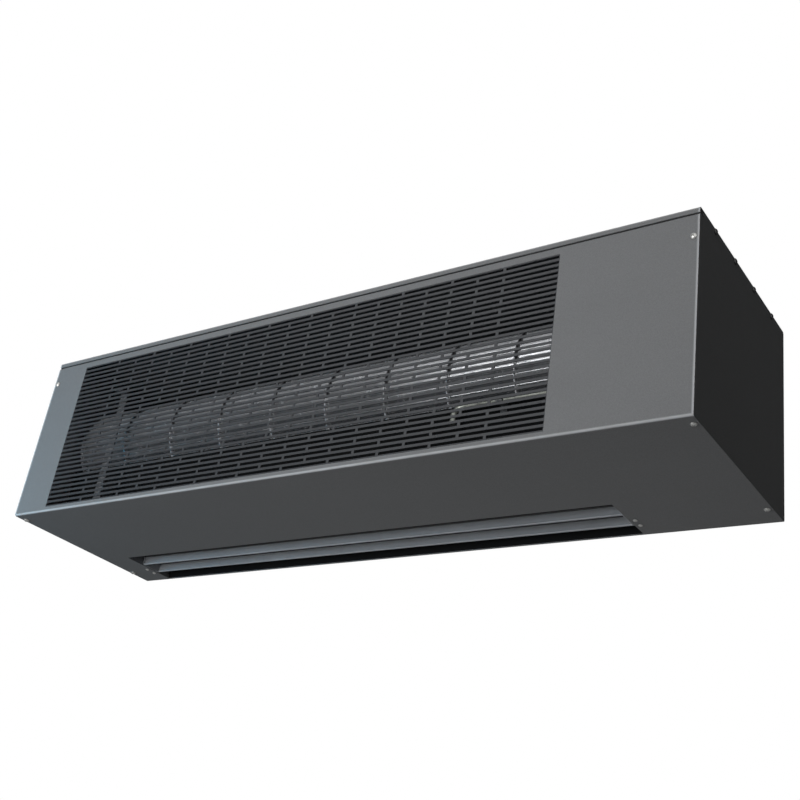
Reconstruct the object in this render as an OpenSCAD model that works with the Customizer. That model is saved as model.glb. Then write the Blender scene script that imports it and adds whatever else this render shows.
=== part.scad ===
// Over-door air curtain with a cross-flow wheel.
// A folded sheet casing holds a punched intake grille, the wheel in its scroll and cut-off, a motor
// and electrics bay at the right end, a bearing bay at the left end, and a two-blade outlet louvre.
// Origin: centre of the wall face. X runs along the casing, the front faces -Y, and Z is up.
// Inside in_case() a point is [from the left end, from the front face, from the bottom face].

/* [Casing] */
// Length of the casing
case_l = 1070; // [1000:5:1400]
// Height of the casing
case_h = 265; // [255:1:320]
// Depth of the casing from the wall to the front face
case_d = 290; // [284:1:330]
// Thickness of the casing sheet
sheet = 1.2; // [0.8:0.1:1.6]
// Inside radius of the casing's folds
fold_r = 2; // [0.8:0.1:2.2]
// Gap between neighbouring casing panels
seam = 0.2; // [0.1:0.05:0.4]
// Height of the top panel's turned-down lip
lip_h = 8; // [5:0.1:9]
// Shadow gap under that lip
lip_gap = 1; // [0.5:0.1:2]
// Depth of the front cover's return at its top edge
cover_return = 10; // [6:1:14]
// Hem of the back panel behind the outlet
hem = 4.3; // [4:0.1:6]
// Width of the end panels' flanges
end_flange = 16; // [14:1:20]

/* [Intake grille] */
// Plain strip left of the grille
window_left = 67; // [55:1:120]
// Plain panel right of the grille
window_right = 173; // [155:0.5:260]
// Plain strip above the grille
window_top = 20; // [18:0.1:28]
// Plain strip below the grille
window_bottom = 7.5; // [7.5:0.1:16]
// Rows of slots
slot_rows = 31; // [15:1:33]
// Slots in a full row
slot_columns = 11; // [5:1:15]
// Height of a slot
slot_h = 4.1; // [2:0.1:5]
// Width of the bridges between slots
bridge_w = 4; // [2.5:0.1:6]
// Thickness of the grille's rim behind the cover
rim_t = 1; // [0.8:0.1:1.5]
// Width of the rim behind the cover
rim_w = 4; // [3:0.1:4.2]
// Gap between the grille and the window's edge
grille_fit = 0.05; // [0.02:0.01:0.2]
// Lap of the rim behind the grille's own edge
rim_lap = 1.5; // [1:0.1:3]
// Solid web at the ends of the outermost slots
slot_end_web = 0.4; // [0.3:0.1:1.5]

/* [Outlet] */
// Left end of the outlet slot
outlet_left = 53.5; // [50:0.5:60]
// Plain bottom right of the outlet slot
outlet_right = 177; // [172:0.5:200]
// Front-to-back width of the outlet slot
outlet_w = 96.7; // [92:0.1:104]
// Height of the louvre's blades
blade_h = 16; // [12:0.5:18]
// Thickness of the louvre's blades
blade_t = 1.6; // [1.2:0.1:2.5]
// Spacing of the two blades
blade_gap = 33; // [30:0.5:36]
// Louvre pivot in front of the outlet's rear edge
pivot_from_rear = 45; // [43:0.5:48]
// Height of the louvre pivot above the bottom face
pivot_h = 10; // [9:0.5:12]
// Radius of the louvre's pivot pins
pin_r = 2.5; // [2:0.1:3]
// Distance of the pivot brackets from the outlet's ends
bracket_off = 3.5; // [3:0.1:6]

/* [Wheel and air path] */
// Left bay, from the casing's end to the fan plate's inner face
left_bay = 53.5; // [53.5:0.5:60]
// Right bay, from the fan plate's inner face to the casing's end
right_bay = 140; // [135:1:180]
// Wheel axis behind the front face
wheel_y = 105; // [102:0.5:110]
// Wheel axis above the bottom face
wheel_z = 133; // [130:0.5:140]
// Outer radius of the wheel's blades
wheel_r = 70; // [62:0.5:71]
// Inner radius of the wheel's blades
wheel_in_r = 55; // [48:0.5:57]
// Radius of the curve of a wheel blade
vane_curve_r = 14; // [12:0.5:15]
// Thickness of a wheel blade
vane_t = 0.9; // [0.6:0.1:1.4]
// Number of wheel blades
vane_count = 32; // [20:1:36]
// Number of wheel segments
segments = 9; // [4:1:12]
// Thickness of the wheel's rings
ring_t = 1.6; // [0.8:0.1:2]
// Free space at the wheel's left end
gap_left = 10.5; // [9.5:0.5:14]
// Free space at the wheel's right end
gap_right = 6.5; // [5.5:0.5:10]
// Thickness of the fan plates, scroll and cut-off sheet
duct_t = 1.2; // [1:0.1:1.6]
// Gap between the wheel and the cut-off
cutoff_gap = 7; // [5:0.5:9]
// Gap between the wheel and the start of the scroll
scroll_gap = 8; // [6:0.5:11]
// Distance of the scroll from the wheel axis where it turns down
scroll_out_r = 138; // [130:1:142]

/* [Drive] */
// Radius of the wheel's shafts
shaft_r = 4; // [3:0.5:5]
// Radial running clearance of shafts and pins
running_fit = 0.05; // [0.02:0.01:0.1]
// Radius of the motor's body
motor_r = 48; // [40:1:52]
// Length of the motor's body
motor_l = 54; // [40:1:60]
// Length of the rubber buffers that carry the motor
buffer_l = 15; // [12:1:20]
// Distance of the buffers from the motor's axis, along each side of their square
buffer_off = 52; // [50:1:55]

/* [Fixing] */
// Distance of the wall holes from the casing's ends
wall_end = 30; // [25:1:36]
// Height of the wall-hole rectangle
wall_pitch_z = 180; // [150:5:200]
// Radius of the wall holes
wall_hole_r = 4.5; // [3:0.5:6]
// Radius of the supply cable's way through the grommet
cable_r = 6; // [4:0.5:8]

/* [Hidden] */
$fn = 72;

// Colours
c_case = [0.36, 0.37, 0.39];
c_zinc = [0.72, 0.73, 0.74];
c_dark = [0.20, 0.20, 0.21];
c_rubber = [0.10, 0.10, 0.10];
c_steel = [0.80, 0.80, 0.80];
c_white = [0.88, 0.88, 0.85];

cut = 1;                  // how far a cutting shape runs past the face it cuts
screw_over = 2;           // how far a screw runs past what it holds
thread_fit = 0.05;        // radial gap of a screw in its thread
way_fit = 0.25;           // radial gap of a screw in a plain hole

bend_r = fold_r + sheet;
cover_h = case_h - lip_h - lip_gap;
window_l = case_l - window_left - window_right;
window_h = case_h - window_top - window_bottom;
row_pitch = window_h / slot_rows;
half_pitch = window_l / (2 * slot_columns);

outlet_l = case_l - outlet_left - outlet_right;
outlet_x1 = outlet_left + outlet_l;
outlet_rear = case_d - hem;
outlet_front = outlet_rear - outlet_w;
pivot_y = outlet_rear - pivot_from_rear;

fan_x0 = left_bay;
fan_x1 = case_l - right_bay;
wheel_x0 = fan_x0 + gap_left;
wheel_x1 = fan_x1 - gap_right;
wheel_l = wheel_x1 - wheel_x0;
segment_l = wheel_l / segments;
wheel_axis = [wheel_y, wheel_z];

// ---- Helpers ----

// Moves case coordinates to the origin at the centre of the wall face
module in_case() translate([-case_l / 2, -case_d, -case_h / 2]) children();

// Sweeps an outline in depth and height along the casing
module along_x(x0, len) translate([x0, 0, 0]) rotate([90, 0, 90]) linear_extrude(len) children();

// Sweeps an outline in length and height from depth y0 towards the back
module along_y(y0, len) translate([0, y0 + len, 0]) rotate([90, 0, 0]) linear_extrude(len) children();

// Round bar along X, at depth and height c
module bar_x(x0, len, c, r) translate([x0, c[0], c[1]]) rotate([0, 90, 0]) cylinder(r = r, h = len);

// Round bar along Y
module bar_y(x, y0, z, len, r) translate([x, y0, z]) rotate([-90, 0, 0]) cylinder(r = r, h = len);

// Turns a profile (radius, distance along X) about an axis along X
module turned_x(x0, c) translate([x0, c[0], c[1]]) rotate([0, 90, 0]) rotate_extrude() children();

// Profile of a tube, from r0 to r1, between a and b along the axis
module tube(r0, r1, a, b) translate([r0, a]) square([r1 - r0, b - a]);

// Rectangle with true round corners
module rounded(w, h, r) {
    translate([r, 0]) square([w - 2 * r, h]);
    translate([0, r]) square([w, h - 2 * r]);
    for (x = [r, w - r], y = [r, h - r]) translate([x, y]) circle(r);
}

// Sheet wrapped round a rectangle with four rounded folds
module wrap(d, h) {
    difference() {
        rounded(d, h, bend_r);
        translate([sheet, sheet]) rounded(d - 2 * sheet, h - 2 * sheet, fold_r);
    }
}

function unit(v) = v / norm(v);
function normal(v) = [-v[1], v[0]];

// Offset of a centreline's point i, mitred between the legs that meet there
function miter(p, i) =
    let (a = i > 0 ? unit(p[i] - p[i - 1]) : unit(p[1] - p[0]),
         b = i < len(p) - 1 ? unit(p[i + 1] - p[i]) : a,
         n = unit(normal(a) + normal(b)))
    n / (n * normal(a));

// Folded strip of thickness t along a centreline
module strip(p, t) {
    polygon(concat(
        [for (i = [0:len(p) - 1]) p[i] + miter(p, i) * t / 2],
        [for (i = [len(p) - 1:-1:0]) p[i] - miter(p, i) * t / 2]));
}

function polar(c, r, a) = c + r * [cos(a), sin(a)];

// ---- Casing ----

wall_x = [wall_end, case_l - wall_end];
wall_z = [(case_h - wall_pitch_z) / 2, (case_h + wall_pitch_z) / 2];
grommet_from_end = 60;
grommet_from_wall = 45;
grommet_wall = 4;
grommet_at = [case_l - grommet_from_end, case_d - grommet_from_wall];
grommet_r = cable_r + grommet_wall;
top_flange_h = 14;
top_flange_clear = 2;
side_screw_drop = 4.2;
side_screw_y = [47, 111, 176, 241];

// Strip turned down under the left end of the top, which the end panel is screwed to
module top_end_flange() {
    y0 = cover_return + top_flange_clear;
    translate([sheet + seam, y0, case_h - sheet - top_flange_h])
        cube([sheet, case_d - bend_r - top_flange_clear - y0, top_flange_h + sheet / 2]);
}

// Places a child that starts at the left end's face at each side screw of both ends
module side_screws_at() {
    for (y = side_screw_y, s = [0, 1])
        translate([s * case_l, y, case_h - side_screw_drop]) mirror([s, 0, 0]) children();
}

module back_top_panel() {
    color(c_case) in_case() difference() {
        union() {
            along_x(0, case_l) difference() {
                wrap(case_d, case_h);
                translate([-cut, -cut]) square([outlet_rear + cut, case_h - lip_h + cut]);
            }
            top_end_flange();
            translate([case_l, 0, 0]) mirror([1, 0, 0]) top_end_flange();
        }
        side_screws_at() bar_x(-cut, end_flange, [0, 0], screw_r + thread_fit);
        for (x = wall_x, z = wall_z) bar_y(x, case_d - sheet - cut, z, sheet + 2 * cut, wall_hole_r);
        translate([grommet_at[0], grommet_at[1], case_h - sheet - cut])
            cylinder(r = grommet_r, h = sheet + 2 * cut);
    }
}

screw_r = 2;
head_r = 3.9;
head_h = 2.9;
screw_l = 9;
screw_inset = 6.5;
screw_x = [screw_inset, case_l - screw_inset];
front_screw_drop = 40;
front_screw_z = case_h - front_screw_drop;
bottom_screw_front = 18;
bottom_screw_rear = 43;
bottom_screw_y = [bottom_screw_front, case_d - bottom_screw_rear];
bracket_screw_off = 4.2;
bracket_screw_pitch = 16.5;
bracket_screw_x = [outlet_left - bracket_off - bracket_screw_off,
    outlet_x1 + bracket_off + bracket_screw_off];
bracket_screw_y = [pivot_y, pivot_y + bracket_screw_pitch];

module front_cover() {
    color(c_case) in_case() difference() {
        along_x(0, case_l) difference() {
            wrap(case_d, cover_h);
            translate([cover_return, case_h / 2]) square([case_d, case_h]);
            translate([outlet_rear - seam, -cut]) square([case_d, case_h + cut]);
        }
        translate([window_left, -cut, window_bottom]) cube([window_l, sheet + 2 * cut, window_h]);
        translate([outlet_left, outlet_front, -cut]) cube([outlet_l, case_d, sheet + 2 * cut]);
        for (x = screw_x) {
            bar_y(x, -cut, front_screw_z, sheet + 2 * cut, screw_r + way_fit);
            for (y = bottom_screw_y)
                translate([x, y, -cut]) cylinder(r = screw_r + way_fit, h = sheet + 2 * cut);
        }
        for (x = bracket_screw_x, y = bracket_screw_y)
            translate([x, y, -cut]) cylinder(r = bracket_screw_r + way_fit, h = sheet + 2 * cut);
    }
}

// Slots of one grille row: odd rows are shifted by half a slot, and all rows end at the window
module slot_row(shift) {
    ends = shift
        ? concat([0], [for (k = [1:slot_columns - 2]) 2 * k + 1], [2 * slot_columns])
        : [for (k = [0:slot_columns]) 2 * k];
    last = len(ends) - 1;
    for (i = [0:last - 1]) {
        a = ends[i] * half_pitch + (i == 0 ? slot_end_web : bridge_w / 2);
        b = ends[i + 1] * half_pitch - (i == last - 1 ? slot_end_web : bridge_w / 2);
        translate([a, 0]) square([b - a, slot_h]);
    }
}

module intake_grille() {
    color(c_case) in_case() translate([window_left, 0, window_bottom]) {
        along_y(0, sheet) difference() {
            translate([grille_fit, grille_fit])
                square([window_l - 2 * grille_fit, window_h - 2 * grille_fit]);
            for (i = [0:slot_rows - 1])
                translate([0, window_h - (i + 0.5) * row_pitch - slot_h / 2]) slot_row(i % 2 == 1);
        }
        along_y(sheet, rim_t) difference() {
            translate([-rim_w, -rim_w]) square([window_l + 2 * rim_w, window_h + 2 * rim_w]);
            translate([rim_lap, rim_lap]) square([window_l - 2 * rim_lap, window_h - 2 * rim_lap]);
        }
    }
}

// Left end panel: a plate up to the top sheet, with flanges turned in along the front, bottom and rear
module end_panel() {
    inset = sheet + seam;
    w = case_d - 2 * inset;
    h = case_h - 2 * inset;
    under_cover = cover_h - sheet - seam;
    behind_cover = cover_return + seam - inset;
    difference() {
        along_x(0, end_flange) translate([inset, inset]) {
            rounded(w, under_cover - inset, bend_r);
            translate([behind_cover, 0]) rounded(w - behind_cover, h, bend_r);
        }
        along_x(sheet, end_flange) {
            translate([inset + sheet, inset + sheet]) rounded(w - 2 * sheet, case_h, fold_r);
            translate([0, under_cover - bend_r]) square([case_d, case_h]);
        }
        side_screws_at() bar_x(-cut, end_flange, [0, 0], screw_r + way_fit);
        bar_y(screw_inset, 0, front_screw_z, inset + sheet + cut, screw_r + thread_fit);
        for (y = bottom_screw_y) translate([screw_inset, y, 0])
            cylinder(r = screw_r + thread_fit, h = inset + sheet + cut);
    }
}

module end_panel_left() color(c_dark) in_case() end_panel();

module end_panel_right() color(c_dark) in_case() translate([case_l, 0, 0]) mirror([1, 0, 0]) end_panel();

// Pan-head screw pointing along +Z, with the underside of its head at z = 0 and an upright rim
module pan_screw(r, hr, hh, l) {
    rim = hh * 0.3;
    rise = hh - rim;
    dome = (hr * hr + rise * rise) / (2 * rise);
    rotate_extrude() {
        intersection() {
            translate([0, dome - hh]) circle(dome);
            translate([0, -hh]) square([hr, rise]);
        }
        translate([0, -rim]) square([hr, rim]);
        square([r, l]);
    }
}

module end_panel_screws() {
    color(c_steel) in_case() for (x = screw_x) {
        translate([x, 0, front_screw_z]) rotate([-90, 0, 0]) pan_screw(screw_r, head_r, head_h, screw_l);
        for (y = bottom_screw_y) translate([x, y, 0]) pan_screw(screw_r, head_r, head_h, screw_l);
    }
    color(c_steel) in_case() side_screws_at() rotate([0, 90, 0])
        pan_screw(screw_r, head_r, head_h, screw_l);
}

// ---- Fan section ----

plate_clear = 2;
plate_front = cover_return + plate_clear;
plate_flange = 12;
plate_flange_end = 10;
plate_foot = sheet + seam;
housing_flange_r = 26;
housing_cup_r = 15.5;
bearing_screw_pcd = 21;
bearing_screw_r = 1.5;
buffer_screw_r = 2.5;
pin_clear = 1.5;
buffers = [for (y = [-1, 1], z = [-1, 1]) wheel_axis + buffer_off * [y, z]];
drive_hole_r = 20;

// Fan plate at x0, with flanges on the back and the top turned to the side given by dir
module fan_plate(x0, dir) {
    f0 = dir > 0 ? x0 : x0 + duct_t - plate_flange;
    w = case_d - sheet - plate_front;
    h = case_h - sheet - plate_foot;
    along_x(x0, duct_t) translate([plate_front, plate_foot]) difference() {
        square([w, h]);
        translate([w - bend_r, h - bend_r]) square(bend_r);
        translate([w - bend_r, 0]) square(bend_r);
    }
    translate([f0, case_d - sheet - duct_t, plate_foot + plate_flange_end])
        cube([plate_flange, duct_t, h - 2 * plate_flange_end]);
    translate([f0, plate_front + plate_flange_end, case_h - sheet - duct_t])
        cube([plate_flange, w - 2 * plate_flange_end, duct_t]);
}

module fan_plate_left() {
    x0 = fan_x0 - duct_t;
    color(c_zinc) in_case() difference() {
        fan_plate(x0, -1);
        bar_x(x0 - cut, duct_t + 2 * cut, wheel_axis, housing_cup_r);
        for (a = [90:120:330])
            bar_x(x0 - cut, duct_t + 2 * cut, polar(wheel_axis, bearing_screw_pcd, a),
                bearing_screw_r + thread_fit);
        bar_x(x0 - cut, duct_t + 2 * cut, [pivot_y, pivot_h], pin_r + pin_clear);
    }
}

module fan_plate_right() {
    color(c_zinc) in_case() difference() {
        fan_plate(fan_x1, 1);
        bar_x(fan_x1 - cut, duct_t + 2 * cut, wheel_axis, drive_hole_r);
        for (c = buffers)
            bar_x(fan_x1 - cut, duct_t + 2 * cut, c, buffer_screw_r + thread_fit);
        bar_x(fan_x1 - cut, duct_t + 2 * cut, [sensor_y, sensor_z], sensor_r + thread_fit);
    }
}

// Scroll: a spiral that opens from above the wheel to the back, then a straight wall to the outlet
scroll_start_a = 100;
scroll_r0 = wheel_r + scroll_gap;
scroll_rate = ln(scroll_out_r / scroll_r0) / scroll_start_a;
scroll_foot = 2;
scroll_steps = 25;

module scroll_sheet() {
    spiral = [for (i = [0:scroll_steps])
        let (a = scroll_start_a * (1 - i / scroll_steps))
        polar(wheel_axis, scroll_r0 * exp(scroll_rate * (scroll_start_a - a)), a)];
    foot_z = sheet + duct_t / 2;
    foot_end = case_d - sheet - fold_r - seam;
    foot = [[foot_end - scroll_foot, foot_z], [foot_end, foot_z]];
    color(c_dark) in_case() along_x(fan_x0, fan_x1 - fan_x0) strip(concat(spiral, foot), duct_t);
}

// Cut-off: an apron up from the bottom, a lip, an arc close to the wheel and a wall to the outlet
cutoff_r = wheel_r + cutoff_gap;
cutoff_lip_a = 220;
cutoff_end_a = 285;
cutoff_steps = 13;
cutoff_foot = 12;
cutoff_back = 2;
apron_y = polar(wheel_axis, cutoff_r, cutoff_lip_a)[0];

module cutoff_sheet() {
    foot_z = sheet + duct_t / 2;
    front = [[apron_y - cutoff_foot, foot_z], [apron_y, foot_z]];
    arc = [for (i = [0:cutoff_steps])
        polar(wheel_axis, cutoff_r, cutoff_lip_a + i / cutoff_steps * (cutoff_end_a - cutoff_lip_a))];
    rear = [[outlet_front - cutoff_back, foot_z], [outlet_front - cutoff_back - cutoff_foot, foot_z]];
    color(c_dark) in_case() along_x(fan_x0, fan_x1 - fan_x0) strip(concat(front, arc, rear), duct_t);
}

// Stay between the bottom and the back of the grille
stay_x = 150.5;
stay_w = 15;
stay_t = 1.5;
stay_y = 15;
stay_foot = 14;
stay_top = 190;

module front_stay() {
    foot_z = sheet + stay_t / 2;
    color(c_zinc) in_case() along_x(stay_x, stay_w)
        strip([[stay_y + stay_foot, foot_z], [stay_y, foot_z], [stay_y, stay_top],
            [sheet, stay_top]], stay_t);
}

// ---- Wheel ----

ring_over = 1.2;
ring_inside = 2;
ring_width = wheel_r - wheel_in_r + ring_inside;
hub_hole_r = 16;
end_disc_t = 1.2;

// One blade: the arc that leaves the inner circle square to it and leans forward at the rim
module vane() {
    c = sqrt(wheel_in_r * wheel_in_r + vane_curve_r * vane_curve_r);
    intersection() {
        translate([c, 0]) difference() {
            circle(vane_curve_r + vane_t / 2);
            circle(vane_curve_r - vane_t / 2);
        }
        difference() {
            circle(wheel_r);
            circle(wheel_in_r);
        }
        square(wheel_r);
    }
}

module cross_flow_wheel() {
    color(c_steel) in_case() {
        along_x(wheel_x0, wheel_l) translate(wheel_axis)
            for (i = [0:vane_count - 1]) rotate(i * 360 / vane_count) vane();
        for (i = [1:segments - 1])
            turned_x(wheel_x0 + i * segment_l - ring_t / 2, wheel_axis)
                tube(wheel_r + ring_over - ring_width, wheel_r + ring_over, 0, ring_t);
        for (x = [wheel_x0, wheel_x1 - end_disc_t])
            turned_x(x, wheel_axis) tube(hub_hole_r, wheel_r + ring_over, 0, end_disc_t);
    }
}

hub_flange_r = 26;
hub_flange_t = 2.5;
spigot_l = 4;
stub_l = 26;
stub_x = wheel_x0 + spigot_l - stub_l;

module left_hub() {
    bore = shaft_r + thread_fit / 2;
    color(c_zinc) in_case() turned_x(wheel_x0, wheel_axis) {
        tube(bore, hub_flange_r, -hub_flange_t, 0);
        tube(bore, hub_hole_r - thread_fit, 0, spigot_l);
    }
}

module left_stub_shaft() color(c_steel) in_case() bar_x(stub_x, stub_l, wheel_axis, shaft_r);

bush_r = 8;
rubber_r = 14;
housing_t = 1.5;
housing_l = 12;
bush_clear = 1;
small_head_r = 2.8;
small_head_h = 1.8;
bush_x = fan_x0 - duct_t - housing_l + housing_t;
bush_l = housing_l - housing_t + duct_t;

module bearing_bush() {
    color([0.62, 0.50, 0.33]) in_case() turned_x(bush_x, wheel_axis)
        tube(shaft_r + running_fit, bush_r, 0, bush_l);
}

module bearing_rubber_ring() {
    color(c_rubber) in_case() turned_x(bush_x, wheel_axis)
        tube(bush_r + thread_fit, rubber_r - thread_fit, 0, bush_l);
}

// Pressed cup on the outer side of the left fan plate
module bearing_housing() {
    x0 = fan_x0 - duct_t - housing_l;
    color(c_zinc) in_case() difference() {
        turned_x(x0, wheel_axis) {
            tube(bush_r + bush_clear, rubber_r + housing_t, 0, housing_t);
            tube(rubber_r, rubber_r + housing_t, 0, housing_l);
            tube(rubber_r, housing_flange_r, housing_l - housing_t, housing_l);
        }
        for (a = [90:120:330])
            bar_x(x0, housing_l + cut, polar(wheel_axis, bearing_screw_pcd, a),
                bearing_screw_r + way_fit);
    }
}

module bearing_screws() {
    x0 = fan_x0 - duct_t - housing_t;
    color(c_steel) in_case() for (a = [90:120:330]) {
        c = polar(wheel_axis, bearing_screw_pcd, a);
        translate([x0, c[0], c[1]]) rotate([0, 90, 0])
            pan_screw(bearing_screw_r, small_head_r, small_head_h, housing_t + duct_t + screw_over);
    }
}

// ---- Drive ----

boss_r = 8;
boss_in = 5;
boss_l = 26;
boss_x0 = wheel_x1 - boss_in;
hub_rubber_r = 14;
hub_rubber_over = 4;
set_screw_r = 2;
set_screw_from_end = 5;
set_screw_x = boss_x0 + boss_l - set_screw_from_end;
hex_r = 1.1;
hex_deep = 2;
plate_x0 = fan_x1 + duct_t + buffer_l;
plate_t = 2;
motor_x0 = plate_x0 + plate_t;
bell_l = 21;
bell_end_t = 5;
shaft_end_gap = 1;
motor_shaft_x0 = boss_x0 + shaft_end_gap;
motor_shaft_l = motor_x0 + motor_l + bell_l - bell_end_t - shaft_end_gap - motor_shaft_x0;

module right_hub_plate() {
    color(c_zinc) in_case() turned_x(wheel_x1, wheel_axis) {
        tube(hub_rubber_r, hub_flange_r, 0, hub_flange_t);
        tube(hub_rubber_r, hub_hole_r - thread_fit, -spigot_l, 0);
    }
}

module hub_rubber() {
    color(c_rubber) in_case() turned_x(wheel_x1, wheel_axis)
        tube(boss_r + thread_fit, hub_rubber_r - thread_fit, -spigot_l, hub_flange_t + hub_rubber_over);
}

module drive_boss() {
    color(c_steel) in_case() difference() {
        turned_x(boss_x0, wheel_axis) tube(shaft_r + thread_fit / 2, boss_r, 0, boss_l);
        translate([set_screw_x, wheel_y, wheel_z])
            cylinder(r = set_screw_r + thread_fit, h = boss_r + cut);
    }
}

module drive_boss_screw() {
    color(c_dark) in_case() translate([set_screw_x, wheel_y, wheel_z + shaft_r + thread_fit])
        difference() {
            cylinder(r = set_screw_r, h = boss_r - shaft_r - thread_fit);
            translate([0, 0, boss_r - shaft_r - hex_deep]) cylinder(r = hex_r, h = boss_r, $fn = 6);
        }
}

module motor_shaft() {
    color(c_steel) in_case() bar_x(motor_shaft_x0, motor_shaft_l, wheel_axis, shaft_r);
}

fins = 24;
fin_h = 3;
fin_t = 2;
motor_band = 6;
through_bolt_r = 2;
through_head_r = 3.8;
through_head_h = 3.5;
through_head_deep = 8;
through_inset = 10;
through_pcd = motor_r - through_inset;

// Stator shell with cooling fins, its front face on the motor plate
module motor_body() {
    core_r = motor_r - fin_h;
    color(c_dark) in_case() difference() {
        union() {
            turned_x(motor_x0, wheel_axis) tube(0, core_r, 0, motor_l);
            turned_x(motor_x0, wheel_axis) {
                tube(0, motor_r, 0, motor_band);
                tube(0, motor_r, motor_l - motor_band, motor_l);
            }
            for (i = [0:fins - 1])
                along_x(motor_x0, motor_l) translate(wheel_axis) rotate(i * 360 / fins)
                    translate([core_r - fin_t / 2, -fin_t / 2]) square([fin_h, fin_t]);
        }
        bar_x(motor_x0 - cut, motor_l + 2 * cut, wheel_axis, shaft_r + running_fit);
        for (a = [45:90:315])
            bar_x(motor_x0 - cut, motor_l + 2 * cut, polar(wheel_axis, through_pcd, a),
                through_bolt_r + way_fit);
    }
}

// Rear bell with a domed edge and air vents
module motor_end_bell() {
    x0 = motor_x0 + motor_l;
    edge_r = 12;
    vent_r = 4;
    pocket_x = x0 + bell_l - through_head_deep;
    color(c_dark) in_case() difference() {
        turned_x(x0, wheel_axis) {
            tube(0, motor_r - edge_r, 0, bell_l);
            tube(0, motor_r, 0, bell_l - edge_r);
            intersection() {
                translate([motor_r - edge_r, bell_l - edge_r]) circle(edge_r);
                square([motor_r, bell_l]);
            }
        }
        turned_x(x0 - cut, wheel_axis) tube(0, shaft_r + running_fit, 0, bell_l - bell_end_t + cut);
        for (a = [0:30:330]) if (a % 90 != 0)
            bar_x(pocket_x, bell_l, polar(wheel_axis, motor_r / 2, a), vent_r);
        for (a = [45:90:315]) {
            bar_x(x0 - cut, bell_l + 2 * cut, polar(wheel_axis, through_pcd, a),
                through_bolt_r + way_fit);
            bar_x(pocket_x, bell_l, polar(wheel_axis, through_pcd, a), through_head_r + 2 * way_fit);
        }
    }
}

module motor_through_bolts() {
    head_x = motor_x0 + motor_l + bell_l - through_head_deep;
    color(c_steel) in_case() for (a = [45:90:315]) {
        c = polar(wheel_axis, through_pcd, a);
        bar_x(plate_x0 + plate_t, head_x - plate_x0 - plate_t, c, through_bolt_r);
        translate([head_x, c[0], c[1]]) rotate([0, 90, 0])
            cylinder(r = through_head_r, h = through_head_h, $fn = 6);
    }
}

buffer_r = 9;
buffer_waist = 1.5;
buffer_waist_r = 15.5;
plate_edge = 11;
nut_r = 4.6;
nut_h = 3.5;

// Square plate with round corners that carries the motor on four buffers
module motor_plate() {
    w = 2 * (buffer_off + plate_edge);
    color(c_zinc) in_case() difference() {
        along_x(plate_x0, plate_t) translate(wheel_axis - [w / 2, w / 2]) rounded(w, w, plate_edge);
        bar_x(plate_x0 - cut, plate_t + 2 * cut, wheel_axis, drive_hole_r);
        for (c = buffers)
            bar_x(plate_x0 - cut, plate_t + 2 * cut, c, buffer_screw_r + way_fit);
    }
}

module motor_buffers() {
    color(c_rubber) in_case() for (c = buffers)
        turned_x(fan_x1 + duct_t, c) difference() {
            tube(buffer_screw_r + way_fit, buffer_r, 0, buffer_l);
            translate([buffer_r + buffer_waist_r - buffer_waist, buffer_l / 2]) circle(buffer_waist_r);
        }
}

module motor_plate_screws() {
    l = plate_t + buffer_l + duct_t;
    color(c_steel) in_case() for (c = buffers) {
        bar_x(motor_x0 - l, l, c, buffer_screw_r);
        translate([motor_x0, c[0], c[1]]) rotate([0, 90, 0]) cylinder(r = nut_r, h = nut_h, $fn = 6);
    }
}

// ---- Electrics ----

tray_gap = 14;
tray_x = fan_x1 + duct_t + tray_gap;
tray_l = 78;
tray_z = 48;
tray_h = 168;
tray_t = 1.5;
tray_off = 10;
tray_foot = 9;
tray_face = case_d - sheet - tray_off;

// Hat-shaped tray on the back panel
module electrics_plate() {
    foot_y = case_d - sheet - tray_t / 2;
    face_y = tray_face + tray_t / 2;
    color(c_zinc) in_case() translate([0, 0, tray_z]) linear_extrude(tray_h)
        strip([[tray_x, foot_y], [tray_x + tray_foot, foot_y], [tray_x + tray_foot, face_y],
            [tray_x + tray_l - tray_foot, face_y], [tray_x + tray_l - tray_foot, foot_y],
            [tray_x + tray_l, foot_y]], tray_t);
}

poles = 6;
pole_pitch = 9;
pole_wall = 1.5;
pole_screw_r = 1.5;
pole_screw_edge = 6;
pole_hole_l = 9;
block_d = 20;
block_base = 12;
block_h = 22;
block_l = poles * pole_pitch;
block_rise = 12;
block_x = tray_x + (tray_l - block_l) / 2;
block_z = tray_z + block_rise;

// Places a child at each clamping screw, on the face of the block's base
module poles_at() {
    for (i = [0:poles - 1], z = [pole_screw_edge, block_h - pole_screw_edge])
        translate([block_x + (i + 0.5) * pole_pitch, tray_face - block_base, block_z + z]) children();
}

module terminal_block() {
    color(c_white) in_case() difference() {
        union() {
            translate([block_x, tray_face - block_base, block_z]) cube([block_l, block_base, block_h]);
            for (i = [0:poles])
                translate([block_x + i * (block_l - pole_wall) / poles, tray_face - block_d, block_z])
                    cube([pole_wall, block_d, block_h]);
        }
        poles_at() bar_y(0, -cut, 0, pole_hole_l, pole_screw_r + way_fit);
    }
}

module terminal_screws() {
    color(c_steel) in_case() poles_at() rotate([-90, 0, 0])
        pan_screw(pole_screw_r, small_head_r, small_head_h, pole_hole_l - screw_over);
}

cap_r = 15;
cap_l = 62;
cap_edge = 1.5;
cap_in = 26;
cap_rise = 92;
cap_gap = 2.5;
cap_at = [tray_x + cap_in, tray_face - cap_r - cap_gap];
cap_z = tray_z + cap_rise;
tab_off = 5;
tab_w = 6;
tab_t = 0.8;
tab_l = 9;

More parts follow.
